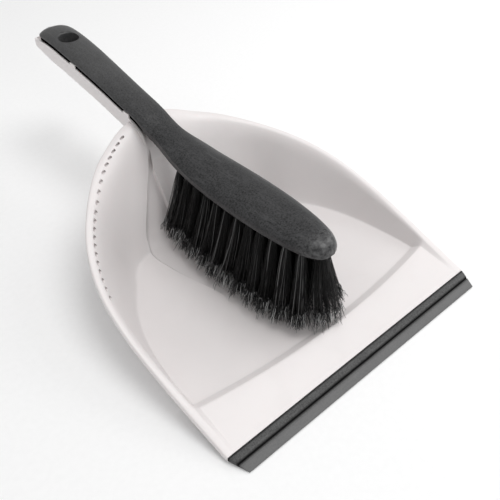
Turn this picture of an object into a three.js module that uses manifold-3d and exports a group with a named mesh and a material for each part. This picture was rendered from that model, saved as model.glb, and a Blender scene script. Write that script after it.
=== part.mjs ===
// Dustpan with a clip-on hand brush. Millimetres, +Z up.
// X runs across the lip, +Y from the lip towards the handle's tip.
// The drawing's y = 0 is where the plastic lip meets the rubber strip. The group at the
// end shifts everything so that the origin is under the middle of the whole object.
import * as THREE from 'three';
import { mergeVertices } from 'three/addons/utils/BufferGeometryUtils.js';
import Module from 'manifold-3d';

const wasm = await Module();
wasm.setup();

// ---------------------------------------------------------------- driving dimensions
const LIP_HALF = 110; // half the width of the plastic lip
const PAN_LENGTH = 223.2; // lip to the back of the rim
const WALL = 2; // moulded thickness of the pan
const LIP_TOP = 3.9; // top of the plastic at the lip
const RIM_SLOPE = 0.265; // the rim climbs from the lip to the handle
const RIM_BOW = 0.000146;
const SKIRT = 3.2; // turned-down edge of the rim
const RIM_EDGE = 0.8; // chamfer along its outer edge
const FLOOR_TOP = 3.8; // top of the flat floor
const RAMP_END_Y = 32.3; // the ramp ends here and the floor drops
const STEP_END_Y = 39.8;
const RAMP_END_Z = 9.4;
const STEP_BOW = 9; // the step bows towards the lip in the middle

const STRIP_LENGTH = 13.2; // rubber strip, front to back
const STRIP_HALF_FRONT = 104.6;
const STRIP_THICK = 3.4;
const STRIP_GROOVE = 0.9;

const POCKET_FLOOR = 2; // top of the sunken middle of the floor; its underside stands at 0
const GRIP_DEPTH = 15; // pan handle, parting line to underside
const TIP_Y = 361; // end of the pan handle
const ROOT_RISE = 4.5; // the rim climbs to meet the sides of the handle

const BRUSH_GAP = 0.4; // brush handle above the pan handle
const HEAD_EDGE = 4.5; // straight side of the brush head under its dome
const HEAD_DOME = 5; // dome above that
const GRIP_EDGE = 3.4; // the same on the handle
const GRIP_DOME = 4.4;
const RABBET = [2.4, 2.2]; // the handle's lower edge is set in and leaves a dark line, [in, up]
const HEAD_FRONT_Y = 31.5;
const BRUSH_TIP_Y = 350;

const HOLE_DEPTH = 6.2; // blind holes for the tufts
const HOLE_RADIUS = 2.3;
const TUFT_RADIUS = 1.95;
const TUFT_END_Z = 10.5; // trimmed ends of the bristles
const TUFT_END_RADIUS = 4.9;
const TUFT_SIDES = 8;
const TUFT_CLEAR = 0.6; // top of the tuft under the blind end of its hole

const HANG_HOLE_Y = 318;
const HANG_HOLE_RADIUS = 8.2;
const SLEEVE_RADIUS = 9.7; // the brush lines the hole with a sleeve that hangs in the channel
const TAB_YS = [225, 293]; // clip tabs on the pan handle
const TAB_LENGTH = 7;
const TAB_HEIGHT = 2.4;
const TAB_ROOT = 2; // each tab starts this far down its side wall
const TAB_GAP = 0.5; // clearance of the brush's notches around the tabs

const COMB_PITS = 20; // small recesses along the left of the rim, for combing the bristles
const PIT_SIZE = [4.2, 1.8, 1.3]; // along the rim, across it, deep

// ---------------------------------------------------------------- helpers
const rimZ = (y) => LIP_TOP + RIM_SLOPE * y + RIM_BOW * y * y;
const clamp = (v, lo, hi) => Math.min(hi, Math.max(lo, v));
const smooth = (t) => t * t * (3 - 2 * t);
const ramp = (v, a, b) => smooth(clamp((v - a) / (b - a), 0, 1));
const mix = (a, b, t) => a + (b - a) * t;

// A curve through [y, value] pairs, read as value(y).
function profile(pairs) {
  return (y) => {
    const last = pairs.length - 1;
    let i = 0;
    while (i < last - 1 && y > pairs[i + 1][0]) i++;
    const slope = (k) => {
      const a = pairs[Math.max(k - 1, 0)];
      const b = pairs[Math.min(k + 1, last)];
      return (b[1] - a[1]) / (b[0] - a[0]);
    };
    const [y0, v0] = pairs[i];
    const [y1, v1] = pairs[i + 1];
    const h = y1 - y0;
    const t = clamp((y - y0) / h, 0, 1);
    const u = 1 - t;
    return (1 + 2 * t) * u * u * v0 + t * u * u * h * slope(i)
      + t * t * (3 - 2 * t) * v1 - t * t * u * h * slope(i + 1);
  };
}

// The parting line between the pan handle and the brush handle, which droops at the tip.
const partZ = profile([
  [196, 72.4], [221, 77.2], [240, 81.2], [260, 85.4], [280, 89.2], [300, 92.6],
  [320, 95.2], [335, 96], [350, 94.6], [TIP_Y, 90.8],
]);

// Joins equal rings of points (arrays of Vector3) into a closed solid. Its ends are flat:
// they lie in the plane of the two coordinates named by ends.
function loft(rings, ends = ['x', 'z']) {
  const n = rings[0].length;
  const points = rings.flat();
  const index = [];
  const flat = rings[0].map((p) => new THREE.Vector2(p[ends[0]], p[ends[1]]));
  const turn = THREE.ShapeUtils.isClockWise(flat) ? -1 : 1;
  for (let i = 0; i < rings.length - 1; i++) {
    for (let j = 0; j < n; j++) {
      const a = i * n + j;
      const b = i * n + ((j + turn + n) % n);
      index.push(a, b, a + n, b, b + n, a + n);
    }
  }
  const far = (rings.length - 1) * n;
  for (const [a, b, c] of THREE.ShapeUtils.triangulateShape(flat, [])) {
    index.push(c, b, a, far + a, far + b, far + c);
  }
  return closed(points, index);
}

function closed(points, index) {
  const geometry = new THREE.BufferGeometry();
  const coordinates = points.flatMap((p) => [p.x, p.y, p.z]);
  geometry.setAttribute('position', new THREE.Float32BufferAttribute(coordinates, 3));
  geometry.setIndex(index);
  return weld(geometry);
}

// Merges shared corners, drops empty triangles and turns the faces outwards.
function weld(geometry) {
  geometry.deleteAttribute('normal');
  geometry.deleteAttribute('uv');
  const merged = mergeVertices(geometry, 1e-4);
  const old = merged.index.array;
  const kept = [];
  for (let i = 0; i < old.length; i += 3) {
    const [a, b, c] = [old[i], old[i + 1], old[i + 2]];
    if (a !== b && b !== c && a !== c) kept.push(a, b, c);
  }
  const at = (i) => new THREE.Vector3().fromBufferAttribute(merged.attributes.position, i);
  let volume = 0;
  for (let i = 0; i < kept.length; i += 3) {
    volume += at(kept[i]).dot(at(kept[i + 1]).cross(at(kept[i + 2])));
  }
  if (volume < 0) kept.reverse();
  merged.setIndex(kept);
  return merged;
}

function solid(geometry) {
  const g = weld(geometry.index ? geometry.clone() : mergeVertices(geometry.clone()));
  return new wasm.Manifold(new wasm.Mesh({
    numProp: 3,
    vertProperties: new Float32Array(g.attributes.position.array),
    triVerts: new Uint32Array(g.index.array),
  }));
}

function fromSolid(manifold) {
  const mesh = manifold.getMesh();
  const geometry = new THREE.BufferGeometry();
  geometry.setAttribute('position', new THREE.BufferAttribute(mesh.vertProperties, 3));
  geometry.setIndex(new THREE.BufferAttribute(mesh.triVerts, 1));
  return geometry;
}

const box = (x0, x1, y0, y1, z0, z1) => new THREE.BoxGeometry(x1 - x0, y1 - y0, z1 - z0)
  .translate((x0 + x1) / 2, (y0 + y1) / 2, (z0 + z1) / 2);

// ---------------------------------------------------------------- dustpan shell
// Half outlines, lip to back: the rim's outer edge, and where the wall meets the floor.
const RIM_OUTLINE = [
  [LIP_HALF, 0], [112.2, 50], [112, 92], [107.5, 123.5], [97, 151],
  [80.3, 176], [53.2, 203.8], [27.6, 218.4], [0, PAN_LENGTH],
];
const FLOOR_OUTLINE = [
  [103.5, 0], [102, 49], [95.8, 91], [86.6, 117], [73, 138.5],
  [58.5, 157.3], [33, 165], [14, 165.5], [0, 165.5],
];
// Rows along those outlines, dense where the pan turns and at the ends of the step.
const ROWS = [
  0, 0.25, 0.5, RAMP_END_Y / 49, STEP_END_Y / 49, 1, 1.35, 1.7, 2, 2.3, 2.6, 2.9, 3.2, 3.5, 3.8,
  4.1, 4.4, 4.7, 5, 5.3, 5.6, 5.9, 6.2, 6.5, 6.8, 7.1, 7.4, 7.7, 8,
];
const FILL_Z = -20; // flat bottom of the filled pan
const ABOVE_ALL = 130; // higher than any of the object
const WALL_STEPS = 6;
const FLOOR_STEPS = 8;

function alongOutline(outline, s) {
  if (s <= 1) return [mix(outline[0][0], outline[1][0], s), mix(outline[0][1], outline[1][1], s)];
  const mirrored = outline.map(([x, y]) => new THREE.Vector3(x, y, 0));
  const last = outline[outline.length - 2];
  const curve = new THREE.CatmullRomCurve3([...mirrored, new THREE.Vector3(-last[0], last[1], 0)]);
  const p = curve.getPoint(s / outline.length);
  return [p.x, p.y];
}

// Height of the floor, ramp or step for a row whose straight position is y.
function floorZ(y) {
  if (y <= RAMP_END_Y) return mix(LIP_TOP, RAMP_END_Z, y / RAMP_END_Y);
  if (y <= STEP_END_Y) return mix(RAMP_END_Z, FLOOR_TOP, (y - RAMP_END_Y) / (STEP_END_Y - RAMP_END_Y));
  return FLOOR_TOP;
}

// Width of the rim's flat, wider where the rim runs into the handle.
const flangeAt = profile([[0, 4.8], [1, 5.2], [4.5, 5.5], [5.2, 5.8], [6, 7.8], [7, 10], [8, 11.5]]);
const rimTop = (s, y) => rimZ(y) + ROOT_RISE * ramp(s, 6.4, 7.6);

// One row of the pan's right half, as [across, height] from the rim's outer edge inwards.
function rowSection(reach, top, low, flange) {
  const skirt = Math.min(SKIRT, top - RIM_EDGE);
  const under = top - WALL;
  const upper = [[0, top - skirt], [0, top - RIM_EDGE], [RIM_EDGE, top], [flange - 1, top]];
  const lower = [[WALL - 0.2, top - skirt], [WALL - 0.1, under - 0.1], [WALL, under], [WALL + 0.1, under]];
  const start = [flange, top - Math.min(0.6, (top - low) / 8)];
  const end = [reach, low];
  const mid1 = [mix(start[0], end[0], 0.46), mix(start[1], end[1], 0.54)];
  const mid2 = [mix(start[0], end[0], 0.86), low + 0.04 * (top - low)];
  for (let i = 0; i <= WALL_STEPS; i++) {
    const t = i / WALL_STEPS;
    const u = 1 - t;
    const at = (k) => u * u * u * start[k] + 3 * u * u * t * mid1[k]
      + 3 * u * t * t * mid2[k] + t * t * t * end[k];
    const run = (k) => u * u * (mid1[k] - start[k]) + 2 * u * t * (mid2[k] - mid1[k])
      + t * t * (end[k] - mid2[k]);
    const size = Math.hypot(run(0), run(1)) || 1;
    upper.push([at(0), at(1)]);
    const back = [at(0) + (WALL * run(1)) / size, at(1) - (WALL * run(0)) / size];
    lower.push([Math.max(back[0], WALL + 0.2), Math.min(back[1], under)]);
  }
  lower[lower.length - 1] = [reach, low - WALL];
  return { upper, lower };
}

// The pan from its top skin down: to the underside of its wall, or to a flat far below.
function panSolid(filled) {
  const top = [];
  const bottom = [];
  for (const s of ROWS) {
    const [rx, ry] = alongOutline(RIM_OUTLINE, s);
    const [fx, fy] = alongOutline(FLOOR_OUTLINE, s);
    const reach = Math.hypot(rx - fx, ry - fy);
    const height = floorZ(fy);
    const bow = STEP_BOW * ramp(fy, 0, RAMP_END_Y) * (1 - ramp(fy, STEP_END_Y, 90));
    const { upper, lower } = rowSection(reach, rimTop(s, ry), height, flangeAt(s));
    const place = ([w, z], side) => new THREE.Vector3(
      side * mix(rx, fx, w / reach), mix(ry, fy, w / reach), z);
    const across = (points, z) => {
      const row = points.map((p) => place(p, 1));
      for (let i = 1; i < FLOOR_STEPS; i++) {
        const x = fx * (1 - (2 * i) / FLOOR_STEPS);
        row.push(new THREE.Vector3(x, fy - (fx > 0 ? bow * (1 - (x / fx) ** 2) : 0), z));
      }
      return row.concat(points.map((p) => place(p, -1)).reverse());
    };
    top.push(across(upper, height));
    const sunk = top[top.length - 1].map((p) => new THREE.Vector3(p.x, p.y, FILL_Z));
    bottom.push(filled ? sunk : across(lower, height - WALL));
  }
  const n = top[0].length;
  const points = [...top.flat(), ...bottom.flat()];
  const under = top.length * n;
  const index = [];
  const quad = (a, b, c, d) => index.push(a, b, c, a, c, d);
  for (let i = 0; i < top.length - 1; i++) {
    for (let j = 0; j < n - 1; j++) {
      const a = i * n + j;
      quad(a, a + n, a + n + 1, a + 1);
      quad(under + a, under + a + 1, under + a + n + 1, under + a + n);
    }
    quad(i * n, under + i * n, under + (i + 1) * n, (i + 1) * n);
    quad(i * n + n - 1, (i + 1) * n + n - 1, under + (i + 1) * n + n - 1, under + i * n + n - 1);
  }
  for (let j = 0; j < n - 1; j++) quad(j, j + 1, under + j + 1, under + j);
  return closed(points, index);
}

// ---------------------------------------------------------------- handle channel and pocket
// Half-width of the grip, shared by the pan handle and the brush handle above it.
const gripHalf = profile([[190, 12.2], [225, 12.4], [260, 12.8], [300, 13.8], [345, 13.8]]);

// A rounded end at tipY, in plan, a little squarer than a semicircle.
const TIP_POWER = 2.4;
function rounded(half, y, tipY) {
  const past = clamp((y - (tipY - half)) / half, 0, 1);
  return half * (1 - past ** TIP_POWER) ** (1 / TIP_POWER);
}

const HANDLE_STATIONS = [222, 240, 260, 280, 300, 318, 330, 340, 346];
const GRIP_STATIONS = [196, 210, ...HANDLE_STATIONS, 351, 354.5, 357.5, 359.6, 360.6, TIP_Y];
const CHANNEL_STATIONS = [190, 196, 210, ...HANDLE_STATIONS, 351, 354.5, 357.2, TIP_Y - WALL];
const GRIP_CORNER = 4; // radius of the bar's lower corners
const TIP_TAPER = 0.5; // share of its depth that is left at the tip
const CHANNEL_OPEN = 5; // the channel's cut runs this far above the parting line

// A solid bar under the parting line, with rounded lower corners.
function gripBar(inset, depth, stations, over) {
  return loft(stations.map((y) => {
    const tip = TIP_Y - inset;
    const half = Math.max(rounded(gripHalf(y) - inset, y, tip), 0.3);
    const top = partZ(y) + over;
    const low = partZ(y) - depth * mix(1, TIP_TAPER, ramp(y, 326, TIP_Y));
    const r = Math.min(GRIP_CORNER, half);
    const ring = [[-half, top], [-half, low + r]];
    for (const a of [30, 60]) {
      const t = THREE.MathUtils.degToRad(a);
      ring.push([-half + r * (1 - Math.cos(t)), low + r * (1 - Math.sin(t))]);
    }
    ring.push([-half + r, low]);
    return ring.concat([...ring].reverse().map(([x, z]) => [-x, z]))
      .map(([x, z]) => new THREE.Vector3(x, y, z));
  }));
}

// The top edge of the channel's side walls dips into the pan, as [y, z].
const CHEEK_EDGE = [
  [190, 38], [196, 45], [201.5, 54], [205, 63], [208, 68.4], [214, 72.8],
  [221, partZ(221)], [223, partZ(223) + 2],
];

// The sunken way from the handle's channel down the back wall and along the floor.
const pocketHalf = profile([
  [84, 31], [102, 33.3], [127, 40], [147, 44], [157, 44.8], [164, 43.5], [172.6, 39.5],
  [186, 27], [199, 14.2], [207, 10.4], [216, 10.2],
]);
const pocketZ = profile([
  [84, 4], [104, 3.2], [128, POCKET_FLOOR], [140, POCKET_FLOOR], [158, POCKET_FLOOR],
  [166, 2.4], [172, 5], [178, 12], [186, 25], [196, 42.5], [205, 56], [212, 62], [220, 64.6],
]);
// Down the middle of that back wall the floor of the channel runs on as a raised tongue.
const tongueZ = profile([
  [173, 0], [175, 8], [179, 33], [185, 41.3], [192, 45.8], [202, 54], [212, 61.5], [220, 64.6],
]);
const TONGUE = [11, 13.6]; // half its width along the top and at the foot
const POCKET_STATIONS = [
  84, 104, 128, 140, 158, 162, 166, 169, 173, 175, 177, 179, 182, 185, 188.5, 192, 197, 202,
  205, 208.5, 212, 220,
];
const POCKET_CORNER = [1.2, 0.6]; // chamfer along the pocket's floor, across and up

// Bottom of the pocket at y, beside the tongue or on it, or of the skin that lies under it.
function pocketLow(y, skin, onTongue) {
  const surface = (place) => (onTongue ? Math.max(pocketZ(place), tongueZ(place)) : pocketZ(place));
  if (!skin) return surface(y);
  const under = surface(y) - skin * mix(1, 1.9, ramp(y, 166, 178)); // thicker where it is steep
  return Math.min(under, surface(Math.max(y - skin, POCKET_STATIONS[0])));
}

function pocketBlock(grow, skin) {
  return loft(POCKET_STATIONS.map((y) => {
    const half = pocketHalf(y) + grow;
    const low = pocketLow(y, skin, false);
    const high = pocketLow(y, skin, true);
    const [across, up] = POCKET_CORNER;
    const foot = Math.min(TONGUE[1] - grow, half - across - 0.2);
    const crown = Math.min(TONGUE[0] - grow, foot - 0.2);
    const side = [[crown, high], [foot, low], [half - across, low], [half, low + up], [half, ABOVE_ALL]];
    const mirrored = side.map(([x, z]) => [-x, z]).reverse();
    return [...mirrored, ...side].map(([x, z]) => new THREE.Vector3(x, y, z));
  }));
}

// Straight down through both handles.
function hangHole() {
  return new THREE.CylinderGeometry(HANG_HOLE_RADIUS, HANG_HOLE_RADIUS, ABOVE_ALL, 16)
    .rotateX(Math.PI / 2).translate(0, HANG_HOLE_Y, partZ(HANG_HOLE_Y));
}

// A recess at the inner edge of the rim's flat, at row s of the left side.
const COMB_ROWS = [2.8, 7.05];
function combPit(s) {
  const [rx, ry] = alongOutline(RIM_OUTLINE, s);
  const [fx, fy] = alongOutline(FLOOR_OUTLINE, s);
  const inset = (flangeAt(s) + 0.2) / Math.hypot(rx - fx, ry - fy);
  const [length, width, depth] = PIT_SIZE;
  const pit = new THREE.BoxGeometry(width, length, 2 * depth);
  pit.rotateZ(Math.atan2(fy - ry, rx - fx));
  pit.translate(-mix(rx, fx, inset), mix(ry, fy, inset), rimTop(s, ry));
  return solid(pit);
}

function dustpanBody() {
  const shell = solid(panSolid(false));
  const under = solid(panSolid(true));
  const aboveCheeks = solid(loft(CHEEK_EDGE.map(([y, z]) => (
    [[-LIP_HALF, ABOVE_ALL], [-LIP_HALF, z], [LIP_HALF, z], [LIP_HALF, ABOVE_ALL]]
  ).map(([x, h]) => new THREE.Vector3(x, y, h)))));
  const outer = solid(gripBar(0, GRIP_DEPTH, GRIP_STATIONS, 0)).subtract(aboveCheeks);
  const channel = solid(gripBar(WALL, GRIP_DEPTH - WALL, CHANNEL_STATIONS, CHANNEL_OPEN));
  const pocketSkin = solid(pocketBlock(WALL, WALL)).intersect(under);
  const pocket = solid(pocketBlock(0, 0));
  let body = shell.add(outer).add(pocketSkin).subtract(pocket).subtract(channel);
  body = body.subtract(solid(hangHole()));
  for (let i = 0; i < COMB_PITS; i++) {
    body = body.subtract(combPit(mix(...COMB_ROWS, i / (COMB_PITS - 1))));
  }
  for (const y of TAB_YS) {
    for (const side of [-1, 1]) {
      const edge = side * (gripHalf(y) - WALL / 2);
      const reach = TAB_LENGTH / 2;
      const tab = box(edge - WALL / 2, edge + WALL / 2, y - reach, y + reach, -TAB_ROOT, TAB_HEIGHT);
      body = body.add(solid(tab.translate(0, 0, partZ(y))));
    }
  }
  return fromSolid(body);
}

// ---------------------------------------------------------------- rubber strip
function rubberLip() {
  const z = LIP_TOP;
  const tip = -STRIP_LENGTH;
  const section = [
    [-0.3, z - 0.1], [-5.6, z - 1.1], [-6, z - 1.1 - STRIP_GROOVE], [-6.6, z - 1.3],
    [tip + 0.5, 1.1], [tip, 0.5], [tip + 0.6, 0], [-6, 0], [-0.3, z - STRIP_THICK],
  ];
  const end = (y) => mix(LIP_HALF - 0.5, STRIP_HALF_FRONT, -y / STRIP_LENGTH);
  const ringAt = (side) => section.map(([y, h]) => new THREE.Vector3(side * end(y), y, h));
  const rings = [ringAt(-1), ringAt(1)];
  const n = section.length;
  const index = [];
  for (let j = 0; j < n; j++) {
    const k = (j + 1) % n;
    index.push(j, k, n + j, k, n + k, n + j);
  }
  const flat = section.map(([y, h]) => new THREE.Vector2(y, h));
  for (const [a, b, c] of THREE.ShapeUtils.triangulateShape(flat, [])) {
    index.push(c, b, a, n + a, n + b, n + c);
  }
  return closed(rings.flat(), index);
}

// ---------------------------------------------------------------- brush
const NECK_END_Y = 222; // the brush lies on the pan handle from here to its tip
const headLow = profile([
  [HEAD_FRONT_Y, 63.6], [60, 64], [150, 64.2], [180, 66.3], [200, 70.8], [211, 74.7],
  [NECK_END_Y, partZ(NECK_END_Y) + BRUSH_GAP], [240, partZ(240) + BRUSH_GAP],
]);
const brushLow = (y) => (y < NECK_END_Y ? headLow(y) : partZ(y) + BRUSH_GAP);
const brushHalf = profile([
  [HEAD_FRONT_Y, 3.4], [33, 6.6], [36, 9.2], [42, 12.4], [50, 14.6], [60, 16.4], [80, 18.4], [100, 19.1],
  [120, 19], [140, 18.1], [160, 16.2], [170, 14.8], [180, 13], [190, 11.7], [200, 11.8], [225, 12.4],
  [260, 12.8], [300, 13.8], [BRUSH_TIP_Y, 13.8],
]);
const BRUSH_STATIONS = [
  HEAD_FRONT_Y, 32.4, 34, 37, 42, 50, 60, 80, 100, 120, 140, 160, 175, 190, 200, 211,
  ...HANDLE_STATIONS, 348.4, BRUSH_TIP_Y - 0.4,
];

function brushSection(y) {
  const half = Math.max(rounded(brushHalf(y), y, BRUSH_TIP_Y), 0.6);
  const low = brushLow(y);
  const blunt = ramp(y, HEAD_FRONT_Y - 3, 42) * ramp(BRUSH_TIP_Y - y, -2, 16);
  const grip = ramp(y, 170, 225);
  const inset = Math.min(mix(0.6, RABBET[0], ramp(y, 196, 216)), half / 2);
  const lift = mix(0.7, RABBET[1], ramp(y, 196, 216));
  const edge = mix(HEAD_EDGE, GRIP_EDGE, grip) * mix(0.6, 1, blunt);
  const dome = mix(HEAD_DOME, GRIP_DOME, grip) * mix(0.3, 1, blunt);
  const ring = [
    [-half + inset, low], [-half + inset, low + lift * mix(0.3, 0.95, ramp(y, 196, 216))],
    [-half, low + lift], [-half, low + edge],
  ];
  for (const t of [0.25, 0.5, 0.75]) {
    const a = (t * Math.PI) / 2;
    ring.push([-half * Math.cos(a), low + edge + dome * Math.sin(a)]);
  }
  return ring.concat([...ring].reverse().map(([x, z]) => [-x, z]))
    .map(([x, z]) => new THREE.Vector3(x, y, z));
}

// Tufts: two outer rows that lean outwards, two inner rows between them, and one at each end.
const TUFT_ROWS = [
  { label: 'outer', count: 12, first: 47, last: 163, off: 5, widest: 12.4, lean: 1 },
  { label: 'inner', count: 11, first: 52.3, last: 157.7, off: 9.6, widest: 4.2, lean: 0.36 },
];
const NOSE_TUFT_Y = 39.5;
const HEEL_TUFT_Y = 166;
const outerLean = profile([[0, 8.5], [0.12, 11], [0.5, 14.5], [1, 10]]);
const forwardLean = profile([[0, -8], [0.3, -4], [1, 5]]);

function tuftPlaces() {
  const places = [
    { name: 'nose', x: 0, y: NOSE_TUFT_Y, lean: [0, 1.3 * forwardLean(0)] },
    { name: 'heel', x: 0, y: HEEL_TUFT_Y, lean: [0, 0.8 * forwardLean(1)] },
  ];
  for (const { label, count, first, last, off, widest, lean } of TUFT_ROWS) {
    for (let i = 0; i < count; i++) {
      const t = i / (count - 1);
      const y = mix(first, last, t);
      const x = Math.min(brushHalf(y) - off, widest);
      for (const [side, sign] of [['left', -1], ['right', 1]]) {
        const name = `${label}_${side}_${i + 1}`;
        places.push({ name, x: sign * x, y, lean: [sign * lean * outerLean(t), forwardLean(t)] });
      }
    }
  }
  return places;
}

function tuft({ x, y, lean }) {
  const mouthZ = brushLow(y);
  const rootZ = mouthZ + HOLE_DEPTH - TUFT_CLEAR;
  // Each ring: height, radius, share of the lean.
  const rings = [
    [rootZ, TUFT_RADIUS * 0.97, 0], [mouthZ, TUFT_RADIUS, 0], [mouthZ - 22, 3.2, 0.36],
    [TUFT_END_Z + 14, TUFT_END_RADIUS * 0.85, 0.74], [TUFT_END_Z, TUFT_END_RADIUS, 1],
  ];
  return loft(rings.map(([z, r, k]) => {
    const ring = [];
    for (let i = 0; i < TUFT_SIDES; i++) {
      const a = (i / TUFT_SIDES) * 2 * Math.PI;
      ring.push(new THREE.Vector3(x + lean[0] * k + r * Math.cos(a), y + lean[1] * k + r * Math.sin(a), z));
    }
    return ring;
  }), ['x', 'y']);
}

function brushBody(places) {
  let body = solid(loft(BRUSH_STATIONS.map(brushSection)));
  const sleeveLow = partZ(HANG_HOLE_Y + SLEEVE_RADIUS) - GRIP_DEPTH + WALL + 0.9;
  const sleeveHigh = partZ(HANG_HOLE_Y) + GRIP_EDGE;
  const sleeve = new THREE.CylinderGeometry(SLEEVE_RADIUS, SLEEVE_RADIUS, sleeveHigh - sleeveLow, 24)
    .rotateX(Math.PI / 2).translate(0, HANG_HOLE_Y, (sleeveLow + sleeveHigh) / 2);
  body = body.add(solid(sleeve));
  for (const place of places) {
    const low = brushLow(place.y);
    const hole = new THREE.CylinderGeometry(HOLE_RADIUS, HOLE_RADIUS, HOLE_DEPTH + 4, 8)
      .rotateX(Math.PI / 2).translate(place.x, place.y, low + HOLE_DEPTH / 2 - 2);
    body = body.subtract(solid(hole));
  }
  for (const y of TAB_YS) {
    for (const side of [-1, 1]) {
      const middle = side * gripHalf(y);
      const across = WALL + TAB_GAP;
      const along = TAB_LENGTH / 2 + TAB_GAP;
      const high = TAB_HEIGHT + TAB_GAP;
      const notch = box(middle - across, middle + across, y - along, y + along, -TAB_ROOT, high);
      body = body.subtract(solid(notch.translate(0, 0, partZ(y))));
    }
  }
  return fromSolid(body.subtract(solid(hangHole())));
}

// ---------------------------------------------------------------- assembly
const PAN_PLASTIC = new THREE.MeshStandardMaterial({ color: 0xddd6d4, roughness: 0.35, metalness: 0 });
const RUBBER = new THREE.MeshStandardMaterial({ color: 0x4a4a4a, roughness: 0.7, metalness: 0 });
const BRUSH_PLASTIC = new THREE.MeshStandardMaterial({ color: 0x454545, roughness: 0.6, metalness: 0 });
const BRISTLE = new THREE.MeshStandardMaterial({ color: 0x141414, roughness: 0.5, metalness: 0 });

const drawing = new THREE.Group();
function piece(name, geometry, material, parent = drawing) {
  const mesh = new THREE.Mesh(geometry, material);
  mesh.name = name;
  parent.add(mesh);
  return mesh;
}

piece('dustpan_body', dustpanBody(), PAN_PLASTIC);
piece('rubber_lip', rubberLip(), RUBBER);

const places = tuftPlaces();
const brush = new THREE.Group();
drawing.add(brush);
piece('brush_body', brushBody(places), BRUSH_PLASTIC, brush);
for (const place of places) {
  piece(`tuft_${place.name}`, tuft(place), BRISTLE, brush);
}

drawing.position.y = -(TIP_Y - STRIP_LENGTH) / 2;

export default drawing;
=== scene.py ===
"""A dustpan with a clip-on hand brush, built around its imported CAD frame.

Shapes are worked out in millimetres in the drawing's own frame, which has y = 0 where the plastic
lip meets the rubber strip. Each piece is moved into the row frame, in metres, when it is finished.
"""

import math

import bmesh
import bpy
import numpy as np
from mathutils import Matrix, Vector
from mathutils.bvhtree import BVHTree


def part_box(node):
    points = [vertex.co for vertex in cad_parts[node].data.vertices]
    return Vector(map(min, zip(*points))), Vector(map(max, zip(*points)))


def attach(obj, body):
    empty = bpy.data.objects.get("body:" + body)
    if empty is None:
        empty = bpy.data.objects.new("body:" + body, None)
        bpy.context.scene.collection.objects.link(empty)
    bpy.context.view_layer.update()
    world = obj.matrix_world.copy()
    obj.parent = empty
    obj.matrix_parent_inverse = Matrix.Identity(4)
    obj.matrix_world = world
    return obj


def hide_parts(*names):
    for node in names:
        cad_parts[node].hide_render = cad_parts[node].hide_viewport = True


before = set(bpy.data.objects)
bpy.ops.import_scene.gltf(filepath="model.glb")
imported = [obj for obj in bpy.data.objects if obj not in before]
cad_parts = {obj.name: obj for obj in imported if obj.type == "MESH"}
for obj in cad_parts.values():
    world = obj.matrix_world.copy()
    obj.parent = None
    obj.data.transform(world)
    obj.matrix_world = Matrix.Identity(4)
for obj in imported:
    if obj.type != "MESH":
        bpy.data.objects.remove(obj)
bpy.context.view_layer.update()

# ---------------------------------------------------------------- dimensions, in millimetres
# The pan's rim, walls and floor
LIP_HALF = 110
PAN_LENGTH = 223.2
WALL = 2
LIP_TOP = 3.9
RIM_SLOPE = 0.265
RIM_BOW = 0.000146
ROOT_RISE = 4.5  # how much higher the rim is where it meets the handle
SKIRT = 3.2  # height of the rim's outer face
RIM_ROUND = 1.1
FLOOR_TOP = 3.8
RAMP_END_Y = 32.3
RAMP_END_Z = 9.4
STEP_END_Y = 39
STEP_BOW = 9
STEP_ROUND = 0.4

# The pocket, the tongue in it, and the skin under them
POCKET_START_Y = 84
POCKET_STEEP_Y = 150  # behind this the pocket climbs, so its sections are closer together
POCKET_END_Y = 220
POCKET_FLOOR = 2
POCKET_ROUND = 2.6
TONGUE_HALF = 11
TONGUE_SIDE = 2.6
SKIN_DROP = 0.4  # the skin ends this far under the pan's own surface

# The pan's handle
CHANNEL_START_Y = 190
GRIP_START_Y = 196
GRIP_TIP_HALF = 13.8
GRIP_DEPTH = 15
GRIP_CORNER = 4
TIP_TAPER_Y = 326
TIP_TAPER = 0.5
TIP_Y = 361
TIP_POWER = 2.4  # 2 would make the handles' ends round, and more makes them squarer
TAB_YS = (225, 293)
TAB_LENGTH = 7
TAB_HEIGHT = 2.4
TAB_ROOT = 2
TAB_GAP = 0.5
CHEEK_END_Y = 223

# The row of small pits along the rim
COMB_PITS = 20
COMB_ROWS = (2.8, 7.05)  # where the row starts and ends along the rim's outline
PIT_SIZE = (4.2, 1.8, 1.0)
PIT_INSET = 0.2
PIT_FARTHEST = 6  # the farthest a pit sits from the rim's outer edge

# The rubber strip
STRIP_LENGTH = 13.2
STRIP_HALF_FRONT = 104.6
STRIP_THICK = 3.4

# The brush's back and handle
BRUSH_GAP = 0.4
RABBET = (0.6, 3)  # depth and height of the set-in edge over the pan's handle
HEAD_FRONT_Y = 31.5
NOSE_LENGTH = 12
NECK_END_Y = 222
RABBET_YS = (196, 216)  # the lower edge turns into the set-in edge between these
GAP_START_Y = 205  # from here on the gap between the handles is painted black, a painted shadow
BRUSH_TIP_Y = 350
HANG_HOLE_Y = 318
HANG_HOLE_RADIUS = 8.2
HANG_HOLE_BEVEL = 1.4
SLEEVE_RADIUS = 9.7
SLEEVE_GAP = 0.9

# The tufts and their holes
HOLE_DEPTH = 6.2
HOLE_RADIUS = 2.3
TUFT_RADIUS = 1.95
ROOT_GAP = 1  # between a tuft's root and the bottom of its hole
TUFT_END_Z = 10.5

# Heights for cutting tools that go right through
FILL_Z = -20
HOLE_ENDS = (40, 140)
ABOVE_ALL = 130

MM = 0.001
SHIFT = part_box("rubber_lip")[0].y + STRIP_LENGTH * MM  # the drawing's y = 0 in the row frame

rng = np.random.default_rng(11)


# ---------------------------------------------------------------- curves
def mix(a, b, t):
    return a + (b - a) * t


def ramp(v, a, b):
    t = min(1, max(0, (v - a) / (b - a)))
    return t * t * (3 - 2 * t)


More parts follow.
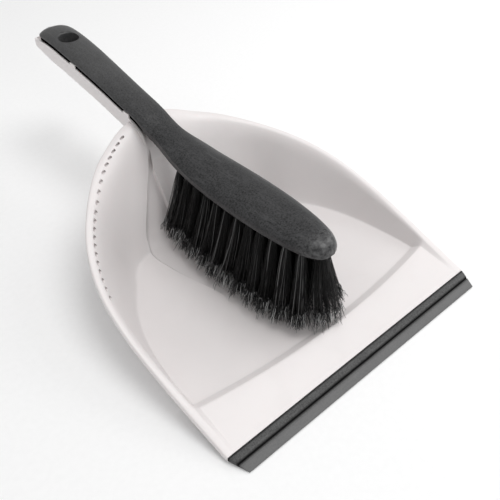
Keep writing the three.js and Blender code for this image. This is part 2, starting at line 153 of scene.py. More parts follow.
def profile(pairs):
    """A smooth curve through (y, value) pairs, read as value(y)."""
    last = len(pairs) - 1

    def slope(k):
        a, b = pairs[max(k - 1, 0)], pairs[min(k + 1, last)]
        return (b[1] - a[1]) / (b[0] - a[0])

    def value(y):
        i = 0
        while i < last - 1 and y > pairs[i + 1][0]:
            i += 1
        (y0, v0), (y1, v1) = pairs[i], pairs[i + 1]
        h = y1 - y0
        t = min(1, max(0, (y - y0) / h))
        u = 1 - t
        return ((1 + 2 * t) * u * u * v0 + t * u * u * h * slope(i)
                + t * t * (3 - 2 * t) * v1 - t * t * u * h * slope(i + 1))

    return value


def catmull(points, s):
    """Centripetal Catmull-Rom through 2-D points, at segment position s."""
    i = min(int(s), len(points) - 2)
    w = s - i
    p = [np.array(points[k], float) if 0 <= k < len(points) else None
         for k in range(i - 1, i + 3)]
    if p[0] is None:
        p[0] = 2 * p[1] - p[2]
    if p[3] is None:
        p[3] = 2 * p[2] - p[1]
    d = [max(np.linalg.norm(p[k + 1] - p[k]) ** 0.5, 1e-4) for k in range(3)]
    m1 = ((p[1] - p[0]) / d[0] - (p[2] - p[0]) / (d[0] + d[1]) + (p[2] - p[1]) / d[1]) * d[1]
    m2 = ((p[2] - p[1]) / d[1] - (p[3] - p[1]) / (d[1] + d[2]) + (p[3] - p[2]) / d[2]) * d[1]
    return (p[1] + m1 * w + (-3 * p[1] + 3 * p[2] - 2 * m1 - m2) * w ** 2
            + (2 * p[1] - 2 * p[2] + m1 + m2) * w ** 3)


# The height of the parting line between the two handles, and half the handles' width.
part_z = profile([(GRIP_START_Y, 72.4), (221, 77.2), (240, 81.2), (260, 85.4), (280, 89.2),
                  (300, 92.6), (320, 95.2), (335, 96), (350, 94.6), (TIP_Y, 90.8)])
grip_half = profile([(CHANNEL_START_Y, 12.2), (225, 12.4), (260, 12.8), (300, GRIP_TIP_HALF),
                     (345, GRIP_TIP_HALF)])


# ---------------------------------------------------------------- meshes
def new_mesh(name, points, faces):
    mesh = bpy.data.meshes.new(name)
    mesh.from_pydata([tuple(map(float, p)) for p in points], [], faces)
    obj = bpy.data.objects.new(name, mesh)
    bpy.context.scene.collection.objects.link(obj)
    bm = bmesh.new()
    bm.from_mesh(mesh)
    bmesh.ops.recalc_face_normals(bm, faces=bm.faces)
    bm.to_mesh(mesh)
    bm.free()
    return obj


def loft(name, rings):
    """Joins equal closed rings of points into a closed mesh with flat ends."""
    n = len(rings[0])
    points = [p for ring in rings for p in ring]
    faces = [tuple(range(n)), tuple(range((len(rings) - 1) * n, len(rings) * n))]
    for i in range(len(rings) - 1):
        for j in range(n):
            a, b = i * n + j, i * n + (j + 1) % n
            faces.append((a, b, b + n, a + n))
    return new_mesh(name, points, faces)


def combine(target, tool, how):
    """Adds a tool to a mesh, cuts it away or keeps only what they share."""
    modifier = target.modifiers.new("combine", "BOOLEAN")
    modifier.operation = how
    modifier.solver = "MANIFOLD"
    modifier.object = tool
    bpy.context.view_layer.update()
    evaluated = target.evaluated_get(bpy.context.evaluated_depsgraph_get())
    result = bpy.data.meshes.new_from_object(evaluated)
    target.modifiers.clear()
    target.data = result
    bpy.data.objects.remove(tool)
    return target


def finish_piece(obj, name, body, material, replaced, sharp=32):
    """Moves a finished shape into the row frame, and gives it its body, material and smooth faces.

    Edges over sharp degrees stay crisp. With 0, every edge is smooth.
    """
    mesh = obj.data
    co = np.empty(len(mesh.vertices) * 3)
    mesh.vertices.foreach_get("co", co)
    co = co.reshape(-1, 3) * MM
    co[:, 1] += SHIFT
    mesh.vertices.foreach_set("co", co.ravel())
    mesh.update()
    mesh.shade_smooth()
    if sharp:
        mesh.set_sharp_from_angle(angle=math.radians(sharp))
    mesh.materials.clear()
    mesh.materials.append(material)
    obj.name = name
    mesh.name = name
    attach(obj, body)
    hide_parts(*replaced)


# ---------------------------------------------------------------- dustpan shell
# Right half of the rim and of the floor's edge, from the lip to the handle. A place s along them
# counts their points, so the same s gives matching places on both.
RIM_OUTLINE = [(LIP_HALF, 0), (112.2, 50), (112, 92), (107.5, 123.5), (97, 151),
               (80.3, 176), (53.2, 203.8), (27.6, 218.4), (0, PAN_LENGTH)]
FLOOR_OUTLINE = [(103.5, 0), (102, 49), (95.8, 91), (86.6, 117), (73, 138.5),
                 (58.5, 157.3), (33, 165), (14, 165.5), (0, 165.5)]
flange_at = profile([(0, 4.8), (1, 5.2), (4.5, 5.5), (5.2, 5.8), (6, 7.8), (7, 10), (8, 11.5)])
SIDE_ROWS = (0, 0.08, 0.2, 0.35, 0.5)
CURVED_ROWS = 141
WALL_STEPS = 22
FLOOR_EDGE = (0.8, 1.7, 2.8, 4.2, 6.5)
FLOOR_STEPS = 16


def along(outline, s):
    if s <= 1:
        return mix(outline[0][0], outline[1][0], s), mix(outline[0][1], outline[1][1], s)
    before_last = outline[-2]
    return tuple(catmull(outline + [(-before_last[0], before_last[1])], s))


def softness(s):
    """How softly the rim rolls over into the wall: 0 is a crease."""
    return mix(0.3, 0.8, ramp(s, 0.8, 2.2)) + 0.2 * ramp(s, 5.9, 7.4)


def rim_top(s, y):
    return LIP_TOP + RIM_SLOPE * y + RIM_BOW * y * y + ROOT_RISE * ramp(s, 6.4, 7.6)


def sharp_floor_z(y):
    if y <= RAMP_END_Y:
        return mix(LIP_TOP, RAMP_END_Z, y / RAMP_END_Y)
    if y <= STEP_END_Y:
        return mix(RAMP_END_Z, FLOOR_TOP, (y - RAMP_END_Y) / (STEP_END_Y - RAMP_END_Y))
    return FLOOR_TOP


def floor_z(y):
    """Height of the floor, ramp and step, with their corners rounded."""
    if y < 2:
        return sharp_floor_z(y)
    around = [k * STEP_ROUND / 3 for k in range(-3, 4)]
    return sum(sharp_floor_z(y + d) for d in around) / len(around)


def pan_rows():
    """Places along the outlines where the pan gets a row of points, closest at the step."""
    straight = FLOOR_OUTLINE[1][1]
    step_rows = [y / straight for y in np.linspace(RAMP_END_Y - 2, STEP_END_Y + 2, 16)]
    curved = np.linspace(1, len(RIM_OUTLINE) - 1, CURVED_ROWS)
    return list(SIDE_ROWS) + step_rows + [0.92] + list(curved)


def row_section(reach, top, low, flange, soft):
    """The right half's top and underside at one row, from the rim's outer edge to the floor.

    Each point is (distance inwards, height).
    """
    skirt = min(SKIRT, top - RIM_ROUND)
    under = top - WALL
    turn = [math.radians(a) for a in (0, 22.5, 45, 67.5, 90)]
    upper = [(0, top - skirt)]
    upper += [(RIM_ROUND * (1 - math.cos(a)), top - RIM_ROUND * (1 - math.sin(a))) for a in turn]
    lower = [(WALL - 0.5, top - skirt)]
    lower += [(WALL - 0.45 + 0.1 * k, under - 0.2 + 0.04 * k) for k in range(5)]
    start = (flange, top - min(0.6, (top - low) / 8))
    end = (reach, low)
    mid1 = (mix(start[0], end[0], 0.46), mix(start[1], end[1], 0.54))
    mid2 = (mix(start[0], end[0], 0.86), low + 0.04 * (top - low))

    def at(t, k):
        u = 1 - t
        return (u ** 3 * start[k] + 3 * u * u * t * mid1[k] + 3 * u * t * t * mid2[k]
                + t ** 3 * end[k])

    def run(t, k):
        u = 1 - t
        return (u * u * (mid1[k] - start[k]) + 2 * u * t * (mid2[k] - mid1[k])
                + t * t * (end[k] - mid2[k]))

    def skin(x, z, dx, dz):
        """The underside's point a wall's thickness behind a point of the top."""
        size = math.hypot(dx, dz) or 1
        return (max(x + WALL * dz / size, WALL + 0.12), min(z - WALL * dx / size, under))

    # The corner rolls over from the flat to the wall, and meets both without a crease.
    first = mix(0.05, 0.15, soft)
    corner_c = (at(first, 0), at(first, 1))
    fall = (top - corner_c[1]) / min(run(first, 1), -1e-6)
    corner_b = (max(corner_c[0] + fall * run(first, 0), RIM_ROUND + 0.8), top)
    leg = math.hypot(corner_c[0] - corner_b[0], corner_c[1] - top)
    corner_a = (max(corner_b[0] - leg, RIM_ROUND + 0.4), top)
    for t in (0, 0.2, 0.4, 0.6, 0.8):
        u = 1 - t
        q = [u * u * corner_a[k] + 2 * u * t * corner_b[k] + t * t * corner_c[k] for k in (0, 1)]
        slope = [u * (corner_b[k] - corner_a[k]) + t * (corner_c[k] - corner_b[k]) for k in (0, 1)]
        upper.append(tuple(q))
        lower.append(skin(*q, *slope))
    for i in range(WALL_STEPS + 1):
        t = mix(first, 1, i / WALL_STEPS)
        upper.append((at(t, 0), at(t, 1)))
        lower.append(skin(at(t, 0), at(t, 1), run(t, 0), run(t, 1)))
    lower[-1] = (reach, low - WALL)
    return upper, lower


def soften(row, middle, reach=3, times=3):
    """Rounds the corner of a row of points at index middle."""
    for _ in range(times):
        old = row.copy()
        for k in range(middle - reach, middle + reach + 1):
            row[k] = (old[k - 1] + 2 * old[k] + old[k + 1]) / 4


def pan_solid(name, filled):
    """The pan from its top skin down: to the underside of its wall, or to a flat far below."""
    tops, bottoms = [], []
    for s in pan_rows():
        rx, ry = along(RIM_OUTLINE, s)
        fx, fy = along(FLOOR_OUTLINE, s)
        fx = max(fx, 0)
        reach = math.hypot(rx - fx, ry - fy)
        height = floor_z(fy)
        bow = STEP_BOW * ramp(fy, 0, RAMP_END_Y) * (1 - ramp(fy, STEP_END_Y, 90))
        upper, lower = row_section(reach, rim_top(s, ry), height, flange_at(s), softness(s))
        room = fx / 24
        spots = [fx - min(e, e * room) for e in FLOOR_EDGE] if fx > 0 else [0] * len(FLOOR_EDGE)
        inner = spots[-1]
        spots += [inner * (1 - 2 * k / FLOOR_STEPS) for k in range(1, FLOOR_STEPS)]
        spots += [-x for x in reversed(spots[:len(FLOOR_EDGE)])]

        def across(section, z):
            right = [(mix(rx, fx, w / reach), mix(ry, fy, w / reach), h) for w, h in section]
            floor = [(x, fy - (bow * (1 - (x / fx) ** 2) if fx > 0 else 0), z) for x in spots]
            left = [(-x, y, h) for x, y, h in reversed(right)]
            return np.array(right + floor + left)

        row = across(upper, height)
        if fx > 12:
            soften(row, len(upper) - 1)
            soften(row, len(row) - len(upper))
        tops.append(row)
        if filled:
            sunk = row.copy()
            sunk[:, 2] = FILL_Z
            bottoms.append(sunk)
        else:
            bottoms.append(across(lower, height - WALL))
    rows, n = len(tops), len(tops[0])
    points = np.concatenate(tops + bottoms)
    under = rows * n

    def vertex(i, j, below=0):
        if i == rows - 1:
            j = min(j, n - 1 - j)  # the two halves meet at the back
        return below + i * n + j

    faces = []
    for i in range(rows - 1):
        for j in range(n - 1):
            ring = (vertex(i, j), vertex(i + 1, j), vertex(i + 1, j + 1), vertex(i, j + 1))
            faces.append(tuple(dict.fromkeys(ring)))
            ring = tuple(v + under for v in reversed(ring))
            faces.append(tuple(dict.fromkeys(ring)))
        for j in (0, n - 1):
            ring = (vertex(i, j), vertex(i, j, under), vertex(i + 1, j, under), vertex(i + 1, j))
            faces.append(ring if j == 0 else tuple(reversed(ring)))
    for j in range(n - 1):
        faces.append((vertex(0, j), vertex(0, j + 1), vertex(0, j + 1, under), vertex(0, j, under)))
    used = sorted({v for f in faces for v in f})
    where = {v: k for k, v in enumerate(used)}
    return new_mesh(name, points[used], [tuple(where[v] for v in f) for f in faces if len(f) > 2])


# ---------------------------------------------------------------- handle channel and pocket
def rounded(half, y, tip_y):
    """Half-width of a handle at y, narrowed where its end is rounded."""
    past = min(1, max(0, (y - (tip_y - half)) / half))
    return half * (1 - past ** TIP_POWER) ** (1 / TIP_POWER)


def tip_stations(start, tip_y, half, step=2.5):
    """Places along a handle, closer together as its rounded end turns."""
    straight = tip_y - half
    count = int((straight - start) / step)
    places = list(np.linspace(start, straight, count + 1))
    turn = np.linspace(0.1, math.pi / 2 - 0.02, 22)
    return places + [tip_y - half * (1 - math.sin(a)) for a in turn]


def grip_bar(name, inset, depth, start, over):
    """A bar under the parting line, with rounded lower corners and a rounded end."""
    tip = TIP_Y - inset
    rings = []
    for y in tip_stations(start, tip, GRIP_TIP_HALF - inset):
        half = max(rounded(grip_half(y) - inset, y, tip), 0.3)
        top = part_z(y) + over
        low = part_z(y) - depth * mix(1, TIP_TAPER, ramp(y, TIP_TAPER_Y, TIP_Y))
        r = min(GRIP_CORNER, half)
        side = [(-half, top), (-half, mix(low + r, top, 0.5)), (-half, low + r)]
        for a in np.linspace(0, math.pi / 2, 8)[1:]:
            side.append((-half + r * (1 - math.cos(a)), low + r * (1 - math.sin(a))))
        ring = side + [(-x, z) for x, z in reversed(side)]
        rings.append([(x, y, z) for x, z in ring])
    return loft(name, rings)


# The top edge of the cheeks beside the handle's root, then the pocket, then the tongue in it.
cheek_edge = profile([(CHANNEL_START_Y, 38), (196, 45), (201.5, 54), (205, 63), (208, 68.4),
                      (214, 72.8), (221, part_z(221)), (CHEEK_END_Y, part_z(CHEEK_END_Y) + 2)])
pocket_half = profile([(POCKET_START_Y, 31), (102, 33.3), (127, 40), (147, 44), (157, 44.8),
                       (164, 43.5), (172.6, 39.5), (186, 27), (199, 14.2), (207, 10.4),
                       (216, 10.2)])
pocket_z = profile([(POCKET_START_Y, 4), (104, 3.2), (128, POCKET_FLOOR), (140, POCKET_FLOOR),
                    (158, POCKET_FLOOR), (166, 2.4), (172, 5), (178, 12), (186, 25), (196, 42.5),
                    (205, 56), (212, 62), (POCKET_END_Y, 64.6)])
tongue_z = profile([(173, 0), (175, 8), (179, 33), (185, 41.3), (192, 45.8), (202, 54),
                    (212, 61.5), (POCKET_END_Y, 64.6)])


def pocket_low(y, skin, raised):
    """Bottom of the pocket, or of the skin under it. Raised, it is the tongue's top."""

    def surface(place):
        return max(pocket_z(place), tongue_z(place)) if raised else pocket_z(place)

    if not skin:
        return surface(y)
    return min(surface(y) - skin * mix(1, 1.9, ramp(y, 166, 178)), surface(y - skin))


def pocket_block(name, grow, skin):
    """A block shaped like the hollow of the pocket, or like its outside with a skin added."""
    rings = []
    gentle = np.linspace(POCKET_START_Y, POCKET_STEEP_Y, 34)
    steep = np.linspace(POCKET_STEEP_Y + 1.2, POCKET_END_Y, 90)
    for y in [*gentle, *steep]:
        half = pocket_half(y) + grow
        low = pocket_low(y, skin, False)
        high = pocket_low(y, skin, True)
        r = POCKET_ROUND * mix(0.45, 1, ramp(y, 110, 150))
        side = [(half, ABOVE_ALL), (half + 0.001, low + 2 * r)]
        for a in np.linspace(0, math.pi / 2, 8):
            side.append((half - r * (1 - math.cos(a)), low + r * (1 - math.sin(a))))
        foot = min(TONGUE_HALF + TONGUE_SIDE - grow, half - r - 0.1)
        crown = min(TONGUE_HALF - grow, foot - 0.1)
        for t in np.linspace(0, 1, 7):
            side.append((mix(foot, crown, t), mix(low, high, t * t * (3 - 2 * t))))
        side.append((crown * 0.5, high + 0.02 * (high - low)))
        ring = side + [(-x, z) for x, z in reversed(side)]
        rings.append([(x, y, z) for x, z in ring])
    return loft(name, rings)


def cylinder(name, radius, y, low, high, x=0, sides=64, flare=0):
    """An upright cylinder, wider by flare at its top."""
    turns = [2 * math.pi * k / sides for k in range(sides)]
    return loft(name, [[(x + r * math.cos(a), y + r * math.sin(a), z) for a in turns]
                       for r, z in ((radius, low), (radius + flare, high))])


def block(name, low, high):
    """A box between two opposite corners."""
    xs, ys, zs = zip(low, high)
    return loft(name, [[(xs[0], y, zs[0]), (xs[1], y, zs[0]), (xs[1], y, zs[1]), (xs[0], y, zs[1])]
                       for y in ys])


def comb_pit(k, surface):
    """The tool for one small pit, set into the surface below it."""
    s = mix(*COMB_ROWS, k / (COMB_PITS - 1))
    rx, ry = along(RIM_OUTLINE, s)
    fx, fy = along(FLOOR_OUTLINE, s)
    reach = math.hypot(rx - fx, ry - fy)
    across = min(flange_at(s) + PIT_INSET, PIT_FARTHEST)
    share = across / reach
    middle = np.array([mix(rx, fx, share), mix(ry, fy, share)])
    inward = np.array([fx - rx, fy - ry])
    inward = inward / np.linalg.norm(inward)
    run = np.array([-inward[1], inward[0]])
    length, width, depth = PIT_SIZE
    above = Vector((-middle[0], middle[1], ABOVE_ALL))
    top = surface.ray_cast(above, Vector((0, 0, -1)))[0].z
    rings = []
    for t, w in ((-0.5, 0.5), (-0.36, 0.9), (0, 1), (0.36, 0.9), (0.5, 0.5)):
        ring = []
        for a, h in ((-0.5, 2 * depth), (-0.5, -depth), (0.5, -depth), (0.5, 2 * depth)):
            p = middle + run * length * t + inward * width * w * a
            ring.append((-p[0], p[1], top + h))
        rings.append(ring)
    return loft("pit", rings)


def dustpan_body():
    body = pan_solid("dustpan", False)
    surface = BVHTree.FromPolygons([v.co for v in body.data.vertices],
                                   [face.vertices for face in body.data.polygons])
    cheek_cut = loft("cheek_cut", [[(-LIP_HALF, y, ABOVE_ALL), (-LIP_HALF, y, cheek_edge(y)),
                                    (LIP_HALF, y, cheek_edge(y)), (LIP_HALF, y, ABOVE_ALL)]
                                   for y in np.linspace(CHANNEL_START_Y, CHEEK_END_Y, 45)])
    outer = combine(grip_bar("outer", 0, GRIP_DEPTH, GRIP_START_Y, 0), cheek_cut, "DIFFERENCE")
    below = pan_solid("below", True)
    for vertex in below.data.vertices:
        vertex.co.z -= SKIN_DROP
    skin = combine(pocket_block("skin", WALL, WALL), below, "INTERSECT")
    combine(body, outer, "UNION")
    combine(body, skin, "UNION")
    combine(body, pocket_block("pocket", 0, 0), "DIFFERENCE")
    channel = grip_bar("channel", WALL, GRIP_DEPTH - WALL, CHANNEL_START_Y, 5)
    combine(body, channel, "DIFFERENCE")
    combine(body, cylinder("hole", HANG_HOLE_RADIUS, HANG_HOLE_Y, *HOLE_ENDS), "DIFFERENCE")
    for k in range(COMB_PITS):
        combine(body, comb_pit(k, surface), "DIFFERENCE")
    for y in TAB_YS:
        for side in (-1, 1):
            edge = side * (grip_half(y) - WALL / 2)
            low = (edge - WALL / 2, y - TAB_LENGTH / 2, part_z(y) - TAB_ROOT)
            high = (edge + WALL / 2, y + TAB_LENGTH / 2, part_z(y) + TAB_HEIGHT)
            combine(body, block("tab", low, high), "UNION")
    return body


# ---------------------------------------------------------------- rubber strip
def rubber_lip():
    """The strip's section, with its groove in the middle of the top, drawn along the lip."""
    z = LIP_TOP
    tip = -STRIP_LENGTH
    top = [(-0.3, z - 0.25), (-0.5, z - 0.1), (-2.2, z - 0.3), (-4, z - 0.65), (-5.5, z - 1.05)]
    groove = [(-5.7, z - 1.2), (-5.85, z - 2.2), (-6.2, z - 2.4), (-6.5, z - 2.2),
              (-6.65, z - 1.5), (-6.9, z - 1.35)]
    front = [(-8.6, 2.1), (-10.4, 1.6), (tip + 0.9, 1.1), (tip + 0.3, 0.9), (tip, 0.6)]
    under = [(tip + 0.15, 0.15), (tip + 0.6, 0), (-9, 0), (-6, 0), (-3, 0.15),
             (-0.3, z - STRIP_THICK)]
    section = top + groove + front + under
    rings = []
    for share in (-1, -0.9985, -0.995, -0.9, -0.6, -0.3, 0, 0.3, 0.6, 0.9, 0.995, 0.9985, 1):
        pinch = 0.25 if abs(share) == 1 else (0.06 if abs(share) == 0.9985 else 0)
        ring = []
        for y, h in section:
            end = mix(LIP_HALF - 0.5, STRIP_HALF_FRONT, -y / STRIP_LENGTH)
            middle = mix(z - 1.7, 0.6, -y / STRIP_LENGTH)
            ring.append((share * end, y, mix(h, middle, pinch)))
        rings.append(ring)
    return loft("strip", rings)


# ---------------------------------------------------------------- brush
# The underside of the head, and half the brush's width.
head_low = profile([(HEAD_FRONT_Y, 63.6), (60, 64), (150, 64.2), (180, 66.3), (200, 70.8),
                    (211, 74.7), (NECK_END_Y, part_z(NECK_END_Y) + BRUSH_GAP),
                    (240, part_z(240) + BRUSH_GAP)])
brush_half = profile([(HEAD_FRONT_Y, 3.4), (33, 6.6), (36, 9.2), (42, 12.4), (50, 14.6), (60, 16.4),
                      (80, 18.4), (100, 19.1), (120, 19), (140, 18.1), (160, 16.2), (170, 14.8),
                      (180, 13), (190, 11.7), (200, 11.8), (225, 12.4), (260, 12.8),
                      (300, GRIP_TIP_HALF), (BRUSH_TIP_Y, GRIP_TIP_HALF)])
# The side facet's height, the whole section's height, and how hard the crease between side and
# top is.
edge_height = profile([(HEAD_FRONT_Y, 3), (60, 3.6), (120, 3.8), (150, 4.4), (180, 5.8), (205, 5.2),
                       (230, 4.2), (300, 3.9), (BRUSH_TIP_Y, 3.9)])
full_height = profile([(HEAD_FRONT_Y, 9.3), (60, 9.5), (150, 9.5), (190, 8.8), (225, 7.8),
                       (BRUSH_TIP_Y, 7.8)])
crease = profile([(HEAD_FRONT_Y, 0), (100, 0.05), (135, 0.35), (165, 1), (200, 1), (240, 0.6),
                  (BRUSH_TIP_Y, 0.7)])


def brush_low(y):
    """Height of the brush's underside."""
    return head_low(y) if y < NECK_END_Y else part_z(y) + BRUSH_GAP


def brush_ring(y):
    """The brush's section at y: a set-in lower edge, a side facet and a domed top."""
    half = brush_half(y)
    nose = 1.0
    if y < HEAD_FRONT_Y + NOSE_LENGTH:
        near = (y - HEAD_FRONT_Y) / NOSE_LENGTH
        nose = math.sqrt(max(0, 1 - (1 - near) ** 2.2))
    half = max(rounded(half, y, BRUSH_TIP_Y), 0.4)
    back = ramp(BRUSH_TIP_Y - y, -1, 10)
    low = brush_low(y)
    height = full_height(y) * mix(0.55, 1, nose) * mix(0.72, 1, back)
    edge = min(edge_height(y), height * 0.7) * mix(0.75, 1, nose)
    dome = height - edge
    hard = crease(y)
    grip = ramp(y, *RABBET_YS)
    inset = min(mix(0.8, RABBET[0], grip), half * 0.4)
    lift = mix(0.8, RABBET[1], grip)
    side = [(half - inset, low),
            (half - inset * mix(0.3, 1, grip), low + lift * mix(0.3, 0.9, grip)),
            (half - 0.3 * grip, low + lift), (half, low + lift + mix(0.1, 0.35, grip)),
            (half, mix(low + lift, low + edge, 0.6))]
    for k in range(13):
        t = k / 12
        a = t * math.pi / 2
        round_x, round_z = math.cos(a), math.sin(a)
        flat_x = 1 - t
        flat_z = 1 - flat_x ** 2.3
        side.append((half * mix(round_x, flat_x, hard),
                     low + edge + dome * mix(round_z, flat_z, hard)))
    ring = side + [(-x, z) for x, z in reversed(side[:-1])]
    return [(x, y, z) for x, z in ring]


# For each row: its label, its tufts, y of the first and the last, how far inwards from the edge,
# the widest x, and its share of the sideways lean.
TUFT_ROWS = (("outer", 12, 47, 163, 5, 12.4, 1), ("inner", 11, 52.3, 157.7, 9.6, 4.2, 0.36))
NOSE_TUFT_Y = 39.5
NOSE_LEAN = 1.3
HEEL_TUFT_Y = 166
HEEL_LEAN = 0.8
outer_lean = profile([(0, 8.5), (0.12, 11), (0.5, 14.5), (1, 10)])
forward_lean = profile([(0, -8), (0.3, -4), (1, 5)])


def tuft_places():
    """The name, x, y and lean of every tuft."""
    places = [("nose", 0, NOSE_TUFT_Y, (0, NOSE_LEAN * forward_lean(0))),
              ("heel", 0, HEEL_TUFT_Y, (0, HEEL_LEAN * forward_lean(1)))]
    for label, count, first, last, off, widest, lean in TUFT_ROWS:
        for i in range(count):
            t = i / (count - 1)
            y = mix(first, last, t)
            x = min(brush_half(y) - off, widest)
            for side, sign in (("left", -1), ("right", 1)):
                name = f"{label}_{side}_{i + 1}"
                places.append((name, sign * x, y, (sign * lean * outer_lean(t), forward_lean(t))))
    return places


def brush_body(places):
    nose_turn = np.linspace(0.03, math.pi / 2, 20)
    tip_turn = np.linspace(0, math.pi / 2 - 0.03, 24)
    nose = [HEAD_FRONT_Y + NOSE_LENGTH * (1 - math.cos(a)) for a in nose_turn]
    straight = list(np.linspace(nose[-1] + 1.5, BRUSH_TIP_Y - 15, 118))
    tip = [BRUSH_TIP_Y - GRIP_TIP_HALF * (1 - math.sin(a)) for a in tip_turn]
    body = loft("brush", [brush_ring(y) for y in nose + straight + tip])
    low = part_z(HANG_HOLE_Y + SLEEVE_RADIUS) - GRIP_DEPTH + WALL + SLEEVE_GAP
    sleeve = cylinder("sleeve", SLEEVE_RADIUS, HANG_HOLE_Y, low, part_z(HANG_HOLE_Y) + 3)
    combine(body, sleeve, "UNION")
    for _, x, y, _ in places:
        mouth = brush_low(y)
        hole = cylinder("hole", HOLE_RADIUS, y, mouth - 4, mouth + HOLE_DEPTH, x, sides=20)
        combine(body, hole, "DIFFERENCE")
    for y in TAB_YS:
        for side in (-1, 1):
            middle = side * grip_half(y)
            across = WALL + TAB_GAP
            reach = TAB_LENGTH / 2 + TAB_GAP
            low_corner = (middle - across, y - reach, part_z(y) - TAB_ROOT)
            high_corner = (middle + across, y + reach, part_z(y) + TAB_HEIGHT + TAB_GAP)
            combine(body, block("notch", low_corner, high_corner), "DIFFERENCE")
    combine(body, cylinder("hole", HANG_HOLE_RADIUS, HANG_HOLE_Y, *HOLE_ENDS), "DIFFERENCE")
    top = part_z(HANG_HOLE_Y) + BRUSH_GAP + full_height(HANG_HOLE_Y)
    bevel = cylinder("bevel", HANG_HOLE_RADIUS, HANG_HOLE_Y, top - 0.6, top + 0.8,
                     flare=HANG_HOLE_BEVEL)
    combine(body, bevel, "DIFFERENCE")
    return body


def mark_gap_shadow(obj):
    """Marks the faces inside the gap between the two handles, where the material paints a black
    shadow.
    """
    mesh = obj.data
    gap_painted_shadow = mesh.attributes.new("gap_painted_shadow", "FLOAT", "FACE")
    for face in mesh.polygons:
        y, z = face.center.y, face.center.z
        sleeve = math.hypot(face.center.x, y - HANG_HOLE_Y) < SLEEVE_RADIUS + 0.5
        inside = y > GAP_START_Y and z < brush_low(y) + RABBET[1] * 0.97 and not sleeve
        gap_painted_shadow.data[face.index].value = 1 if inside else 0


# ---------------------------------------------------------------- bristles
FILAMENTS = 140
FILAMENT_RADIUS = 0.17
FILAMENT_STEPS = (0, 0.14, 0.3, 0.46, 0.63)
SPLIT_AT = 0.82  # how far along a filament it splits into hairs
HAIR_RADIUS = 0.14
HAIR_TAPER = (1.3, 1.2, 1.1, 1, 0.9, 0.6)
HAIR_STEPS = len(HAIR_TAPER) - 1
HAIR_KINK = 0.42
END_RADIUS = 6.1
NOSE_FAN = (2.3, 1.25)  # the tuft at the nose fans out wider, across and along
PALE_SHARE = 0.1  # some filaments are paler and a little thicker


class Strands:
    """Collects thin three-sided strands into one mesh, each point with two values for the material.

    One is how far along its strand the point is, and the other is the strand's shade.
    """

    def __init__(self):
        self.points, self.faces, self.along, self.shade = [], [], [], []

    def add(self, path, radii, along, shade):
        """Adds one strand, with a radius and a share of its length for each point of its path."""
        path = np.asarray(path)
        base = len(self.points)
        run = path[-1] - path[0]
        run = run / np.linalg.norm(run)
        u = np.cross(run, [0.3, 0.9, 0.1])
        u = u / np.linalg.norm(u)
        v = np.cross(run, u)
        for p, r, t in zip(path, radii, along):
            for k in range(3):
                a = 2 * math.pi * k / 3
                self.points.append(p + r * (u * math.cos(a) + v * math.sin(a)))
                self.along.append(t)
                self.shade.append(shade)
        for ring in range(base, base + 3 * (len(path) - 1), 3):
            for k in range(3):
                a, b = ring + k, ring + (k + 1) % 3
                self.faces.append((a, b, b + 3, a + 3))
        last = base + 3 * (len(path) - 1)
        self.faces += [(base + 2, base + 1, base), (last, last + 1, last + 2)]

    def build(self, name):
        mesh = bpy.data.meshes.new(name)
        mesh.from_pydata([tuple(p) for p in self.points], [], self.faces)
        for label, values in (("along", self.along), ("shade", self.shade)):
            attribute = mesh.attributes.new(label, "FLOAT", "POINT")
            attribute.data.foreach_set("value", np.array(values, np.float32))
        obj = bpy.data.objects.new(name, mesh)
        bpy.context.scene.collection.objects.link(obj)
        return obj


def bristles(x, y, lean, fan):
    """One tuft: filaments that fan out from their hole, with split, frizzy ends."""
    strands = Strands()
    mouth = brush_low(y)
    length = mouth - TUFT_END_Z
    for _ in range(FILAMENTS):
        rho = math.sqrt(rng.random())
        phi = rng.random() * 2 * math.pi
        push = np.array([lean[0] * rng.normal(1.03, 0.07), lean[1] * rng.normal(1.03, 0.07)])
        spread = np.array(fan) * rng.normal(1.03, 0.1)
        wave = rng.normal(0, 0.4, 2)
        drop = length * (1 + rng.normal(0.0, 0.006)) - abs(rng.normal(0, 0.5))
        pale = rng.random() < PALE_SHARE
        shade = rng.uniform(0.65, 1) if pale else rng.uniform(0, 0.6)
        thick = FILAMENT_RADIUS * (rng.uniform(1, 1.5) if pale else 1)
        turn = rng.uniform(3.5, 6.5)

        def place(t):
            k = 0.55 * t + 0.45 * t * t
            out = TUFT_RADIUS * 0.9 + (END_RADIUS * spread - TUFT_RADIUS) * t ** 0.68
            px = x + push[0] * k + out[0] * rho * math.cos(phi) + wave[0] * math.sin(turn * t)
            py = y + push[1] * k + out[1] * rho * math.sin(phi) + wave[1] * math.sin(turn * t)
            return np.array([px, py, mouth - drop * t])

        ts = [*FILAMENT_STEPS, SPLIT_AT]
        root = place(0) + [0, 0, HOLE_DEPTH - ROOT_GAP]
        path = [root] + [place(t) for t in ts]
        strands.add(path, [thick] * len(path), [0] + [t * 0.9 for t in ts], shade)
        start = path[-1]
        forward = (place(1) - start) / HAIR_STEPS
        for _ in range(int(rng.integers(2, 4))):
            hair = [start]
            heading = forward * rng.uniform(0.75, 1.05) + rng.normal(0, 0.13, 3) * [1, 1, 0.3]
            for _ in range(HAIR_STEPS):
                hair.append(hair[-1] + heading + rng.normal(0, HAIR_KINK, 3) * [1, 1, 0.7])
            tint = rng.random()
            thickness = HAIR_RADIUS * (1.6 if tint > 0.78 else 1.1)
            radii = [thickness * w for w in HAIR_TAPER]
            ends = [mix(SPLIT_AT, 1, k / HAIR_STEPS) for k in range(HAIR_STEPS + 1)]
            strands.add(hair, radii, ends, tint)
    return strands.build("bristles")


# ---------------------------------------------------------------- materials
def grey(level):
    return (level, level, level, 1)


